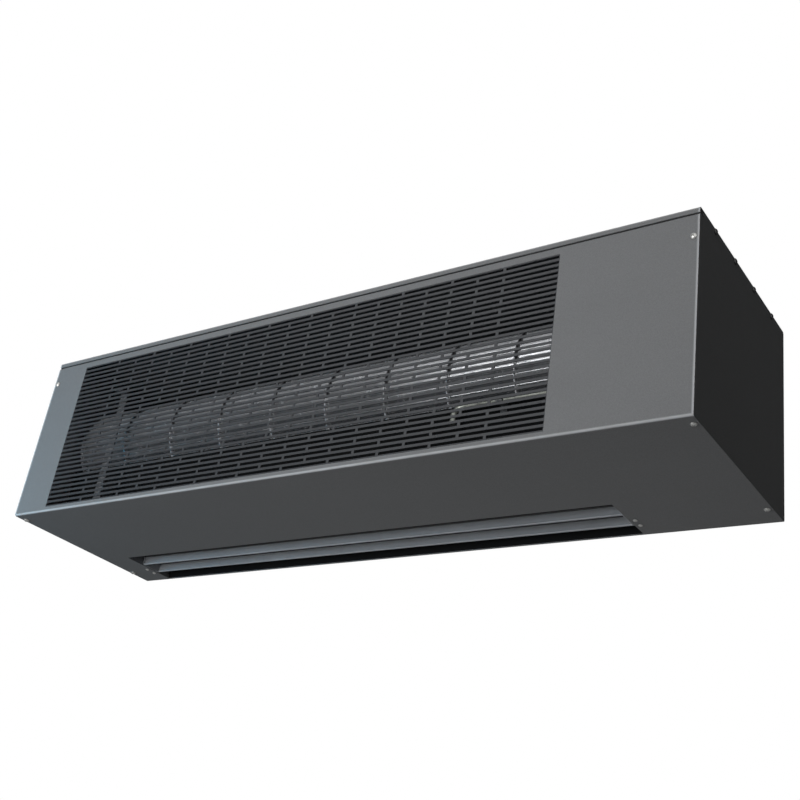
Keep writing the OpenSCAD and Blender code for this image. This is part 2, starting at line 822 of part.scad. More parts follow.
module run_capacitor() {
    color(c_white) in_case() translate([cap_at[0], cap_at[1], cap_z]) {
        rotate_extrude() {
            square([cap_r - cap_edge, cap_l]);
            translate([0, cap_edge]) square([cap_r, cap_l - 2 * cap_edge]);
            for (z = [cap_edge, cap_l - cap_edge]) intersection() {
                translate([cap_r - cap_edge, z]) circle(cap_edge);
                square([cap_r, cap_l]);
            }
        }
        for (x = [-tab_off, tab_off])
            translate([x - tab_t / 2, -tab_w / 2, -tab_l]) cube([tab_t, tab_w, tab_l + tab_t]);
    }
}

clip_w = 12;
clip_t = 1.2;
clip_fit = 0.1;
clip_foot_l = 28;
clip_foot_t = 1.5;
clip_split = 4;

// Band round the capacitor with a foot on the tray
module capacitor_clip() {
    band_r = cap_r + clip_fit;
    foot_y = cap_gap + cap_r - clip_foot_t;
    color(c_zinc) in_case() translate([cap_at[0], cap_at[1], cap_z + (cap_l - clip_w) / 2])
        linear_extrude(clip_w) difference() {
            union() {
                circle(band_r + clip_t);
                translate([-clip_foot_l / 2, foot_y]) square([clip_foot_l, clip_foot_t]);
            }
            circle(band_r);
            translate([-clip_split / 2, -cap_r - cap_edge - clip_t]) square([clip_split, 2 * clip_split]);
        }
}

relay_w = 20;
relay_d = 26;
relay_h = 44;
relay_in = 32;
relay_rise = 100;
relay_cap = [14, 6, 22];
relay_lug = [12, 3, 4];
relay_lug_edge = 3;

// Plug-in relay: a block with a raised cap and a lug above and below it
module control_relay() {
    color([0.16, 0.17, 0.19]) in_case()
        translate([tray_x + tray_l - relay_in, tray_face - relay_d, tray_z + relay_rise]) {
            cube([relay_w, relay_d, relay_h]);
            translate([(relay_w - relay_cap[0]) / 2, -relay_cap[1], (relay_h - relay_cap[2]) / 2])
                cube(relay_cap);
            for (z = [relay_lug_edge, relay_h - relay_lug_edge - relay_lug[2]])
                translate([(relay_w - relay_lug[0]) / 2, -relay_lug[1], z]) cube(relay_lug);
        }
}

grommet_lip = 3;
grommet_lip_t = 2.5;

// Rubber grommet in the top panel, with a groove for the sheet
module cable_grommet() {
    color(c_rubber) in_case() translate([grommet_at[0], grommet_at[1], case_h - sheet / 2])
        rotate_extrude() {
            translate([cable_r, -sheet / 2 - grommet_lip_t])
                square([grommet_r - thread_fit - cable_r, sheet + 2 * grommet_lip_t]);
            for (z = [sheet / 2, -sheet / 2 - grommet_lip_t])
                translate([cable_r, z]) square([grommet_r + grommet_lip - cable_r, grommet_lip_t]);
        }
}

// ---- Intake-air sensor tube in front of the apron ----

sensor_r = 4;
sensor_y = 35;
sensor_z = 78;
sensor_bend_r = 12;
sensor_l = 179;
sensor_tip_x = fan_x1 - sensor_l;
sensor_drop = 10;
sensor_tail = 8;
sensor_clip_w = 9;
sensor_clip_in = 60;
sensor_clip_x = sensor_tip_x + sensor_clip_in;
clip_wall = 1.5;
clip_neck = 4;
clip_back_h = 18;

module sensor_tube() {
    bend_x = sensor_tip_x + sensor_bend_r;
    color(c_steel) in_case() {
        bar_x(bend_x, fan_x1 + duct_t + sensor_tail - bend_x, [sensor_y, sensor_z], sensor_r);
        translate([bend_x, sensor_y, sensor_z - sensor_bend_r]) rotate([90, 0, 0])
            rotate_extrude(angle = 90, start = 90) translate([sensor_bend_r, 0]) circle(sensor_r);
        translate([sensor_tip_x, sensor_y, sensor_z - sensor_bend_r - sensor_drop])
            cylinder(r = sensor_r, h = sensor_drop);
    }
}

// P-clip that holds the tube on the apron
module sensor_clip() {
    back = apron_y - duct_t / 2;
    color(c_dark) in_case() along_x(sensor_clip_x, sensor_clip_w) difference() {
        union() {
            translate([sensor_y, sensor_z]) circle(sensor_r + clip_wall);
            translate([sensor_y, sensor_z - clip_neck / 2]) square([back - sensor_y, clip_neck]);
            translate([back - clip_wall, sensor_z + clip_neck / 2 - clip_back_h])
                square([clip_wall, clip_back_h]);
        }
        translate([sensor_y, sensor_z]) circle(sensor_r + thread_fit);
    }
}

// ---- Outlet louvre ----

louvre_end_t = 1.5;
louvre_side_gap = 1;
louvre_low = 0.6;
louvre_end_r = 3;
bush_wall = 1.4;
bush_flange_t = 1;
bush_flange_w = 1.6;
ear_t = 1.5;
ear_w = 18;
ear_over = 3;
ear_edge_r = 3;
pin_head_t = 1.5;
pin_head_w = 1.5;
louvre_x0 = outlet_left + louvre_side_gap;
louvre_x1 = outlet_x1 - louvre_side_gap;
ear_x0 = outlet_left - bracket_off - ear_t;
ear_x1 = outlet_x1 + bracket_off;
pin_x0 = ear_x0 - ear_t;
pin_l = louvre_x0 + louvre_end_t + pin_head_t - pin_x0;
bush_out_r = pin_r + running_fit + bush_wall;
bracket_screw_r = 1.6;
bracket_head_r = 3;
bracket_head_h = 2;
bracket_w = 11;
bracket_foot_l = 33;

// Blade section: a flat strip with a round bead along both edges
module louvre_blade() {
    translate([-blade_t / 2, blade_t]) square([blade_t, blade_h - 2 * blade_t]);
    for (z = [blade_t, blade_h - blade_t]) translate([0, z]) circle(blade_t);
}

module louvre() {
    color([0.55, 0.58, 0.60]) in_case() difference() {
        union() {
            for (s = [-0.5, 0.5])
                along_x(louvre_x0, louvre_x1 - louvre_x0) translate([pivot_y + s * blade_gap, louvre_low])
                    louvre_blade();
            for (x = [louvre_x0, louvre_x1 - louvre_end_t])
                along_x(x, louvre_end_t) translate([pivot_y - blade_gap / 2 - louvre_end_r, louvre_low])
                    rounded(blade_gap + 2 * louvre_end_r, blade_h, louvre_end_r);
        }
        bar_x(louvre_x0 - cut, louvre_x1 - louvre_x0 + 2 * cut, [pivot_y, pivot_h],
            pin_r + thread_fit / 2);
    }
}

// Headed pins through the louvre's end plates into the bushes
module louvre_pins() {
    color(c_steel) in_case() for (s = [0, 1])
        translate([s * (louvre_x1 + louvre_x0), 0, 0]) mirror([s, 0, 0]) {
            bar_x(pin_x0, pin_l, [pivot_y, pivot_h], pin_r);
            bar_x(louvre_x0 + louvre_end_t, pin_head_t, [pivot_y, pivot_h], pin_r + pin_head_w);
        }
}

// Angle bracket on the bottom sheet, beside the outlet's left end
module louvre_bracket() {
    top = pivot_h + bush_out_r + ear_over;
    difference() {
        union() {
            along_x(ear_x0, ear_t) translate([pivot_y - ear_w / 2, sheet])
                rounded(ear_w, top - sheet, ear_edge_r);
            translate([ear_x0 + ear_t - bracket_w, pivot_y - ear_w / 2, sheet])
                cube([bracket_w, bracket_foot_l, ear_t]);
        }
        bar_x(ear_x0 - cut, ear_t + 2 * cut, [pivot_y, pivot_h], bush_out_r + thread_fit);
        for (y = bracket_screw_y) translate([bracket_screw_x[0], y, 0])
            cylinder(r = bracket_screw_r + thread_fit, h = sheet + ear_t + cut);
    }
}

// Copies a left-hand piece of the louvre to both ends of the outlet
module at_right() translate([outlet_left + outlet_x1, 0, 0]) mirror([1, 0, 0]) children();

module louvre_bracket_left() color(c_zinc) in_case() louvre_bracket();

module louvre_bracket_right() color(c_zinc) in_case() at_right() louvre_bracket();

module louvre_bush() {
    turned_x(ear_x0, [pivot_y, pivot_h]) {
        tube(pin_r + running_fit, bush_out_r, 0, ear_t);
        tube(pin_r + running_fit, bush_out_r + bush_flange_w, ear_t, ear_t + bush_flange_t);
    }
}

module louvre_bushes() {
    color(c_white) in_case() {
        louvre_bush();
        at_right() louvre_bush();
    }
}

module louvre_bracket_screws() {
    color(c_steel) in_case() for (x = bracket_screw_x, y = bracket_screw_y)
        translate([x, y, 0])
            pan_screw(bracket_screw_r, bracket_head_r, bracket_head_h, sheet + ear_t + screw_over);
}

back_top_panel();
front_cover();
intake_grille();
end_panel_left();
end_panel_right();
end_panel_screws();
fan_plate_left();
fan_plate_right();
scroll_sheet();
cutoff_sheet();
front_stay();
cross_flow_wheel();
left_hub();
left_stub_shaft();
bearing_bush();
bearing_rubber_ring();
bearing_housing();
bearing_screws();
right_hub_plate();
hub_rubber();
drive_boss();
drive_boss_screw();
motor_shaft();
motor_body();
motor_end_bell();
motor_through_bolts();
motor_plate();
motor_buffers();
motor_plate_screws();
electrics_plate();
terminal_block();
terminal_screws();
run_capacitor();
capacitor_clip();
control_relay();
cable_grommet();
sensor_tube();
sensor_clip();
louvre();
louvre_pins();
louvre_bracket_left();
louvre_bracket_right();
louvre_bushes();
louvre_bracket_screws();
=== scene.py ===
"""Looks of the over-door air curtain: finishes, driven screws, a foam strip and a studio.

Every length in the code is in metres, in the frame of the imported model: X along the casing, -Y out
of the grille, +Z up.
"""

import math

import bpy
from mathutils import Matrix, Vector


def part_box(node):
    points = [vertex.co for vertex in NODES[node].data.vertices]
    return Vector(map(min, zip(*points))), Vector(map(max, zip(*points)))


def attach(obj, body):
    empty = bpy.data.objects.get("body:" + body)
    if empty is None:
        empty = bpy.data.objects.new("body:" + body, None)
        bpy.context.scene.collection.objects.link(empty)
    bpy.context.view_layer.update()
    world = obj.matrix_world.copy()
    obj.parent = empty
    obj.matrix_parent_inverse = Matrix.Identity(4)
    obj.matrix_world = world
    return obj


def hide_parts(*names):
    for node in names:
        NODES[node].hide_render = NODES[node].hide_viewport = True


bl_info = {
    "name": "Air Curtain Finisher",
    "version": (1, 0, 0),
    "blender": (4, 5, 0),
    "location": "View3D > Sidebar > Air Curtain",
    "description": "Dresses the packed air curtain with finishes, fasteners and a studio",
    "category": "Object",
}

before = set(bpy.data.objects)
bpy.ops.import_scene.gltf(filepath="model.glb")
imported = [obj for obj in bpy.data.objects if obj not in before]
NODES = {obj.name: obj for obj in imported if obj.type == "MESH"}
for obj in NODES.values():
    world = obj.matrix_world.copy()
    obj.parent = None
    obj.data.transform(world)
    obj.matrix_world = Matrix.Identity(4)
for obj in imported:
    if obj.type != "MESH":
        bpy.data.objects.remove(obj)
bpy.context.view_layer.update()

CASE_LOW, CASE_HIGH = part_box("back_top_panel")
CASE_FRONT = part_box("front_cover")[0].y
WHEEL_LOW, WHEEL_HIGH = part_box("cross_flow_wheel")
WHEEL_AXIS = (WHEEL_LOW + WHEEL_HIGH) / 2
WHEEL_SECTIONS = 9
DISC = 0.0008
LOUVRE_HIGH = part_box("louvre")[1]
TUBE_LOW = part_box("sensor_tube")[0]

# Bands: each pair is the distance at which an effect is nil and the one at which it is full.
# Bands of the painted highlight on the casing's folds and cut edges.
LOW_FOLD_UP = (0.0036, 0.0013)
LOW_FOLD_BACK = (0.0028, 0.0010)
TOP_FOLD = (0.0040, 0.0010)
CUT_EDGE = (0.0032, 0.0008)
# Band of the dark primer on inner faces, which also paints the shade inside the casing.
PRIMER_AND_SHADE_DEPTH = (0.00098, 0.00115)
# Bands of the painted shadow beside the wheel's discs and of the painted highlight on their rims.
DISC_SHADOW_BAND = (0.0048, 0.0030)
RIM_HIGHLIGHT_BAND = (0.0030, 0.0024)
BELOW_AXIS = (-0.006, 0.014)
# Band of the painted shade along the top of the louvre.
LOUVRE_BEAD_SHADE = (-0.0036, -0.0030)
# Band of the painted highlight in the sensor tube's bend.
TUBE_BEND_HIGHLIGHT = (0.022, 0.010)
# The same for the upward share of a face's normal.
DUSTY_SLOPE = (0.6, 0.95)

CASE_DUST = (0.30, 0.29, 0.27, 1)
DUCT_DUST = (0.05, 0.049, 0.046, 1)
# Colour of the painted shadow beside the wheel's discs.
DISC_SHADOW_COLOUR = (0.02, 0.02, 0.022, 1)
# Colour of the painted shade on the louvre's top bead.
BEAD_SHADE_COLOUR = (0.025, 0.026, 0.028, 1)
RUBBER_BLOOM = (0.10, 0.10, 0.10, 1)
ENAMEL_CHIP = (0.25, 0.25, 0.25, 1)

# Screws: shares of the head's radius or height, or of the shank's length.
HEAD_SIDES = 32
SHANK_SIDES = 16
FOOT_RADIUS = 0.96
FOOT_HEIGHT = 0.06
RIM_HEIGHT = 0.3
DOME_STEPS = (0.30, 0.55, 0.76, 0.92)
CROWN = 0.5
RECESS_DEPTH = 0.75
SHANK_SINK = 0.1
SHANK_STRAIGHT = 0.8
SHANK_POINT = 0.2
SHANK_TIP = 0.35
HEAD_RIM_FROM = 0.98
SCREW_TURN = 1.9
SMOOTH_BELOW = math.radians(35)
# A bar of a recess: length and width in head radii, and the share of its length left at the bottom.
CROSS_BAR = (1.25, 0.27, 0.45)
SLOT_BAR = (2.6, 0.34, 1.0)
BAR_DEPTH = 2.0
BAR_TAPER = 0.85
WELD_DIGITS = 6

SEAL_END_GAP = 0.0002
SEAL_ROUND = 0.0018
SEAL_SEGMENTS = 5
TOUCH = 1e-5

FLOOR_SIZE = 14.0
FLOOR_GREY = (0.50, 0.50, 0.50, 1)
FLOOR_GLOW = (0.86, 0.86, 0.86, 1)
FLOOR_GLOW_SEEN = 0.75
FLOOR_GLOW_MIRRORED = 0.15
KEY_SIZE = (1.8, 1.8)
LOW_SIZE = (0.9, 1.8)
SIDE_SIZE = (0.3, 0.3)
TOP_SIZE = (2.1, 2.2)
WHITE = (1.0, 1.0, 1.0)
COOL = (0.16, 0.66, 1.0)
ROOM_TINT = (0.98, 0.99, 1.0, 1)
ROOM_WHITE = (1, 1, 1, 1)
# Where mirrored rays find the room darker: a direction, then how far along X, each with its share.
SHADE_SIDE = Vector((0.45, 0.75, 0.45)).normalized()
SHADE_SIDE_FADE = (0.25, 0.80)
SHADE_SIDE_SHARE = 0.93
SHADE_LEFT_FADE = (-0.46, -0.76)
SHADE_LEFT_SHARE = 0.85
SENSOR_WIDTH = 36.0
NEAREST_SEEN = 0.02


# ---------------------------------------------------------------- finishes


class Wire:
    """One output of a shader tree that takes Python's arithmetic."""

    def __init__(self, board, socket):
        self.board = board
        self.socket = socket

    def maths(self, operation, *values):
        settings = {"operation": operation}
        return self.board.node("ShaderNodeMath", settings, dict(enumerate(values)))

    def __add__(self, other):
        return self.maths("ADD", self, other)

    __radd__ = __add__

    def __sub__(self, other):
        return self.maths("SUBTRACT", self, other)

    def __rsub__(self, other):
        return self.maths("SUBTRACT", other, self)

    def __mul__(self, other):
        return self.maths("MULTIPLY", self, other)

    __rmul__ = __mul__

    def __truediv__(self, other):
        return self.maths("DIVIDE", self, other)

    def __abs__(self):
        return self.maths("ABSOLUTE", self)

    def smaller(self, other):
        return self.maths("MINIMUM", self, other)

    def larger(self, other):
        return self.maths("MAXIMUM", self, other)

    def fraction(self):
        return self.maths("FRACT", self)

    def ramp(self, low, high):
        """0 below low, 1 above high, smooth between; low may be the larger one."""
        return self.board.node(
            "ShaderNodeMapRange",
            {"interpolation_type": "SMOOTHSTEP"},
            {"Value": self, "From Min": low, "From Max": high},
        )


class Board:
    """A node tree and the one way in which nodes are added to it."""

    def __init__(self, tree):
        self.tree = tree

    def node(self, kind, settings=None, inputs=None, output=0):
        """Adds a node with its settings, then values or wires on its inputs; returns one output."""
        made = self.tree.nodes.new(kind)
        for key, value in (settings or {}).items():
            setattr(made, key, value)
        for key, value in (inputs or {}).items():
            if isinstance(value, Wire):
                self.tree.links.new(value.socket, made.inputs[key])
            else:
                made.inputs[key].default_value = value
        return Wire(self, made.outputs[output])

    def rays(self):
        """Three wires: whether a ray comes from the camera, through glass, or off a glossy face."""
        return [
            self.node("ShaderNodeLightPath", output=ray)
            for ray in ("Is Camera Ray", "Is Transmission Ray", "Is Glossy Ray")
        ]


class Finish(Board):
    """A material and the patterns that it is built from."""

    def __init__(self, name, roughness, metallic=0.0, specular=0.5):
        self.material = bpy.data.materials.new(name)
        self.material.use_nodes = True
        super().__init__(self.material.node_tree)
        self.shader = self.tree.nodes["Principled BSDF"]
        self.shader.inputs["Roughness"].default_value = roughness
        self.shader.inputs["Metallic"].default_value = metallic
        self.shader.inputs["Specular IOR Level"].default_value = specular
        self.place = self.node("ShaderNodeTexCoord", output="Object")
        axes = self.node("ShaderNodeSeparateXYZ", inputs={0: self.place})
        self.x, self.y, self.z = (Wire(self, axes.socket.node.outputs[i]) for i in range(3))
        facing = self.node("ShaderNodeNewGeometry", output="Normal")
        self.up = self.node("ShaderNodeSeparateXYZ", inputs={0: facing}, output="Z")

    def stretched(self, scale):
        """Object coordinates scaled by three numbers, for a grain that runs one way."""
        return self.node("ShaderNodeMapping", inputs={"Vector": self.place, "Scale": scale})

    def noise(self, scale, detail=2.0, roughness=0.5, place=None):
        return self.node(
            "ShaderNodeTexNoise",
            inputs={
                "Vector": place or self.place,
                "Scale": scale,
                "Detail": detail,
                "Roughness": roughness,
            },
            output="Fac",
        )

    def cells(self, scale, output="Distance", place=None):
        inputs = {"Vector": place or self.place, "Scale": scale}
        return self.node("ShaderNodeTexVoronoi", inputs=inputs, output=output)

    def speckle(self, scale, place=None):
        """A random number for each small cell."""
        colour = self.cells(scale, "Color", place)
        return self.node("ShaderNodeSeparateColor", inputs={0: colour})

    def mix(self, factor, first, second, how="MIX"):
        """Colour mix of two colours, each a wire or a tuple."""
        return self.node(
            "ShaderNodeMix",
            {"data_type": "RGBA", "blend_type": how},
            {0: factor, 6: first, 7: second},
            2,
        )

    def shade(self, colour, factor, amount):
        """Makes a colour darker and lighter by amount as the factor goes from 0 to 1."""
        dark = (1 - amount, 1 - amount, 1 - amount, 1)
        light = (1 + amount, 1 + amount, 1 + amount, 1)
        return self.mix(1.0, colour, self.mix(factor, dark, light), "MULTIPLY")

    def bump(self, height, depth, strength=1.0, under=None):
        """Bump whose height of 1 is depth metres; under is a bump that lies below it."""
        inputs = {"Height": height, "Distance": depth, "Strength": strength}
        if under is not None:
            inputs["Normal"] = under
        return self.node("ShaderNodeBump", inputs=inputs)

    def wear(self, colour, **others):
        """Puts a colour, and what else is given by its first word, on the shader."""
        sockets = {"Base Color": colour}
        for name, value in others.items():
            sockets[name.capitalize()] = value
        for name, value in sockets.items():
            if isinstance(value, Wire):
                self.tree.links.new(value.socket, self.shader.inputs[name])
            else:
                self.shader.inputs[name].default_value = value
        return self.material


def solid(colour, factor=1.0):
    """An opaque colour from a property, made darker or lighter by a factor."""
    return (colour[0] * factor, colour[1] * factor, colour[2] * factor, 1.0)


def powder_coat(name, colour, gloss, dull, primer_and_shade=None):
    """Satin powder coat with a fine metallic grain, a painted highlight along the folds and cut
    edges, and dusty on top.

    Faces inside the casing take a dark primer colour where one is given, which also paints the shade
    inside the casing.
    """
    coat = Finish(name, dull, specular=gloss)
    cloud = coat.noise(2.6, detail=3.0)
    fleck = coat.speckle(1500.0)
    peel = coat.noise(420.0)
    smear = coat.noise(1.0, 4.0, 0.6, coat.stretched((9.0, 40.0, 26.0)))
    tone = coat.shade(solid(colour), cloud, amount=0.07)
    tone = coat.shade(tone, fleck, amount=0.10)
    tone = coat.shade(tone, smear, amount=0.05)
    front = coat.y - CASE_FRONT
    below = coat.z - CASE_LOW.z
    above = CASE_HIGH.z - coat.z
    end = CASE_HIGH.x - abs(coat.x)
    # Painted highlight: the folds and the cut edges are made lighter, the way a lit fold looks; a
    # noise breaks up the lower fold's highlight.
    highlight_breakup = 0.55 + 0.45 * coat.noise(42.0, detail=3.0)
    low_fold = below.ramp(*LOW_FOLD_UP) * front.ramp(*LOW_FOLD_BACK) * highlight_breakup
    top_fold = front.larger(above).ramp(*TOP_FOLD) * 0.6
    cut_edge = front.larger(end).ramp(*CUT_EDGE) * 0.7
    fold_highlight = low_fold.larger(top_fold).larger(cut_edge)
    tone = coat.mix(fold_highlight * 0.85, tone, solid(colour, 3.4))
    settled = 0.35 + 0.65 * coat.noise(90.0, 5.0, 0.65).ramp(0.35, 0.7)
    dust = coat.up.ramp(*DUSTY_SLOPE) * settled
    tone = coat.mix(dust * 0.16, tone, CASE_DUST)
    # Painted shade: faces inside the sheet take the dark primer colour, so the inside of the casing
    # reads as shaded.
    if primer_and_shade is not None:
        behind = CASE_HIGH.y - coat.y
        depth = front.smaller(behind).smaller(below).smaller(above).smaller(end)
        tone = coat.mix(depth.ramp(*PRIMER_AND_SHADE_DEPTH), tone, solid(primer_and_shade))
    rough = dull - 0.05 + 0.10 * smear + 0.15 * dust - 0.10 * fold_highlight
    relief = coat.bump(peel, depth=0.00006, strength=0.6)
    relief = coat.bump(fleck, depth=0.00001, strength=0.4, under=relief)
    return coat.wear(tone, roughness=rough, normal=relief)


def black_shade_coat(name, colour):
    """Matte black dip coat of the inner sheets, near black so that it also paints the shade of the
    air path, with dust that settles along the air's way.
    """
    coat = Finish(name, 0.7, specular=0.05)
    cloud = coat.noise(5.0, detail=3.0)
    grain = coat.noise(700.0)
    drift = coat.noise(1.0, 4.0, 0.6, coat.stretched((6.0, 30.0, 30.0))).ramp(0.45, 0.75)
    tone = coat.shade(solid(colour), cloud, amount=0.18)
    tone = coat.shade(tone, grain, amount=0.12)
    tone = coat.mix(drift * 0.12, tone, DUCT_DUST)
    relief = coat.bump(grain, depth=0.00004, strength=0.6)
    return coat.wear(tone, roughness=0.62 + 0.2 * drift, normal=relief)


def galvanised(name, colour, dull):
    """Hot-dip galvanised sheet: overlapping spangles, fine scratches and a little grey bloom."""
    zinc = Finish(name, 0.5, metallic=0.85)
    warp = zinc.noise(30.0)
    bent = zinc.node(
        "ShaderNodeVectorMath",
        {"operation": "MULTIPLY_ADD"},
        {0: zinc.place, 1: (1, 1, 1), 2: warp * 0.02},
    )
    spangle = zinc.speckle(85.0, bent)
    leaf = zinc.speckle(210.0, bent)
    scratch = zinc.noise(1.0, 5.0, 0.7, zinc.stretched((25.0, 600.0, 600.0)))
    bloom = zinc.noise(9.0, 5.0, 0.6).ramp(0.45, 0.75)
    tone = zinc.shade(solid(colour), spangle, amount=0.16)
    tone = zinc.shade(tone, leaf, amount=0.07)
    tone = zinc.shade(tone, scratch, amount=0.05)
    tone = zinc.mix(bloom * 0.4, tone, solid(colour, 0.7))
    rough = dull + 0.16 * spangle + 0.12 * bloom
    relief = zinc.bump(spangle + 0.4 * scratch, depth=0.00002, strength=0.5)
    return zinc.wear(tone, roughness=rough, metallic=0.9 - 0.35 * bloom, normal=relief)


def wheel_aluminium(name, colour):
    """Rolled aluminium blades under a film of dust.

    Right of each disc, where the blades are crimped, they carry a painted shadow, weaker below the
    axis; below the axis the disc rims carry a painted highlight.
    """
    metal = Finish(name, 0.2, metallic=0.5)
    line = metal.noise(1.0, 4.0, 0.65, metal.stretched((18.0, 900.0, 900.0)))
    patch = metal.noise(16.0, detail=3.0)
    grime = metal.noise(75.0, 4.0, 0.7).ramp(0.50, 0.74)
    pitch = (WHEEL_HIGH.x - WHEEL_LOW.x) / WHEEL_SECTIONS
    past_disc = ((metal.x - WHEEL_LOW.x + DISC) / pitch).fraction() * pitch - DISC
    # Painted shadow right of each disc, and a painted highlight on the disc rims below the axis.
    disc_shadow = past_disc.ramp(*DISC_SHADOW_BAND)
    lower_half = (WHEEL_AXIS.z - metal.z).ramp(*BELOW_AXIS)
    disc_shadow = disc_shadow * (1 - 0.75 * lower_half)
    rim = past_disc.ramp(*RIM_HIGHLIGHT_BAND) * lower_half
    tone = metal.shade(solid(colour), line, amount=0.08)
    tone = metal.shade(tone, patch, amount=0.10)
    tone = metal.mix(grime * 0.35, tone, solid(colour, 0.55))
    tone = metal.mix(disc_shadow * 0.93, tone, DISC_SHADOW_COLOUR)
    tone = metal.mix(rim, tone, solid(colour, 1.35))
    rough = 0.15 + 0.06 * line + 0.16 * grime + 0.4 * disc_shadow.larger(rim)
    relief = metal.bump(line, depth=0.00002, strength=0.5)
    shine = (0.68 - 0.25 * grime) * (1 - disc_shadow.larger(rim))
    return metal.wear(tone, roughness=rough, metallic=shine, normal=relief)


def anodised(name, colour):
    """Satin anodised extrusion with painted shade along its top bead, cloudy and water-marked."""
    skin = Finish(name, 0.45, metallic=0.3)
    line = skin.noise(1.0, 3.0, 0.6, skin.stretched((12.0, 1100.0, 1100.0)))
    cloud = skin.noise(9.0, 4.0, 0.55)
    mark = skin.noise(30.0, 5.0, 0.65).ramp(0.52, 0.72)
    tone = skin.shade(solid(colour), line, amount=0.05)
    tone = skin.shade(tone, cloud, amount=0.16)
    tone = skin.mix(mark * 0.3, tone, solid(colour, 0.6))
    # Painted shade: near the louvre's top the blades are made near black.
    bead_shade = (skin.z - LOUVRE_HIGH.z).ramp(*LOUVRE_BEAD_SHADE)
    tone = skin.mix(bead_shade, tone, BEAD_SHADE_COLOUR)
    rough = 0.50 + 0.10 * line + 0.18 * mark
    relief = skin.bump(line, depth=0.00001, strength=0.5)
    shine = 0.12 * (1 - mark) * (1 - bead_shade)
    return skin.wear(tone, roughness=rough, metallic=shine, normal=relief)


def plated(name, colour, dull):
    """Bright zinc or black-oxide plating on small turned and pressed parts."""
    plate = Finish(name, dull, metallic=0.95)
    turn = plate.noise(520.0, detail=3.0)
    patch = plate.noise(110.0)
    pit = plate.cells(900.0).ramp(0.06, 0.0)
    tone = plate.shade(solid(colour), patch, amount=0.14)
    tone = plate.shade(tone, turn, amount=0.06)
    tone = plate.mix(pit * 0.6, tone, solid(colour, 0.4))
    rough = dull + 0.14 * patch + 0.2 * pit
    relief = plate.bump(turn - pit, depth=0.00001, strength=0.5)
    return plate.wear(tone, roughness=rough, normal=relief)


def drawn_tube(name, colour):
    """Drawn steel tube with fine lines along it, dulled by handling, with a painted highlight in its
    bend and darker along the rest.
    """
    tube = Finish(name, 0.3, metallic=0.8)
    line = tube.noise(1.0, 3.0, 0.6, tube.stretched((40.0, 700.0, 700.0)))
    mark = tube.noise(60.0, detail=3.0).ramp(0.55, 0.72)
    # Painted highlight: the bend is made brighter than the rest of the tube.
    bend_highlight = (tube.x - TUBE_LOW.x).ramp(*TUBE_BEND_HIGHLIGHT)
    tone = tube.mix(bend_highlight, solid(colour, 0.75), solid(colour, 2.2))
    tone = tube.shade(tone, line, amount=0.05)
    tone = tube.mix(mark * 0.4, tone, solid(colour, 0.5))
    rough = 0.34 + 0.08 * line + 0.16 * mark
    relief = tube.bump(line, depth=0.00001, strength=0.4)
    return tube.wear(tone, roughness=rough, normal=relief)


def sintered(name, colour):
    """Oil-soaked sintered bronze: open pores and dark oily patches."""
    bronze = Finish(name, 0.5, metallic=0.8)
    pore = bronze.cells(1400.0).ramp(0.16, 0.04)
    oil = bronze.noise(180.0, detail=3.0)
    tone = bronze.shade(solid(colour), oil, amount=0.2)
    tone = bronze.mix(pore * 0.8, tone, solid(colour, 0.25))
    relief = bronze.bump(1 - pore, depth=0.00004, strength=0.6)
    return bronze.wear(tone, roughness=0.34 + 0.3 * pore + 0.1 * oil, normal=relief)


def rubber(name, colour):
    """Moulded black rubber with a matte grain and pale bloom."""
    soft = Finish(name, 0.75, specular=0.35)
    grain = soft.noise(900.0, detail=3.0)
    bloom = soft.noise(55.0, 4.0, 0.6).ramp(0.45, 0.8)
    tone = soft.shade(solid(colour), grain, amount=0.25)
    tone = soft.mix(bloom * 0.3, tone, RUBBER_BLOOM)
    relief = soft.bump(grain, depth=0.00004, strength=0.6)
    return soft.wear(tone, roughness=0.68 + 0.2 * bloom, normal=relief)


def enamel(name, colour):
    """Satin black enamel on castings, with a coarse skin below it."""
    paint = Finish(name, 0.4, specular=0.45)
    cast = paint.noise(240.0, detail=4.0)
    chip = paint.noise(130.0, 5.0, 0.7).ramp(0.70, 0.78)
    tone = paint.shade(solid(colour), cast, amount=0.15)
    tone = paint.mix(chip * 0.5, tone, ENAMEL_CHIP)
    relief = paint.bump(cast, depth=0.00008, strength=0.7)
    return paint.wear(tone, roughness=0.34 + 0.12 * cast + 0.2 * chip, normal=relief)


def moulded(name, colour, dull):
    """Spark-eroded moulded plastic with faint flow marks."""
    plastic = Finish(name, dull, specular=0.45)
    spark = plastic.speckle(1600.0)
    flow = plastic.noise(22.0, detail=3.0)
    handled = plastic.noise(70.0, detail=4.0).ramp(0.5, 0.8)
    tone = plastic.shade(solid(colour), flow, amount=0.06)
    tone = plastic.shade(tone, spark, amount=0.05)
    tone = plastic.mix(handled * 0.15, tone, solid(colour, 0.75))
    relief = plastic.bump(spark, depth=0.00002, strength=0.6)
    return plastic.wear(tone, roughness=dull + 0.12 * handled, normal=relief)


# ---------------------------------------------------------------- modelling helpers


def nothing_selected():
    if bpy.context.object and bpy.context.object.mode == "EDIT":
        bpy.ops.object.mode_set(mode="OBJECT")
    bpy.ops.object.select_all(action="DESELECT")


def pick(piece, kind, test):
    """Selects the faces or edges of a piece in edit mode whose middle passes the test."""
    bpy.ops.mesh.select_all(action="DESELECT")
    bpy.ops.object.mode_set(mode="OBJECT")
    mesh = piece.data
    for part in getattr(mesh, kind):
        middle = Vector()
        for index in part.vertices:
            middle += mesh.vertices[index].co / len(part.vertices)
        normal = part.normal if kind == "polygons" else None
        part.select = test(middle, normal)
    bpy.ops.object.mode_set(mode="EDIT")


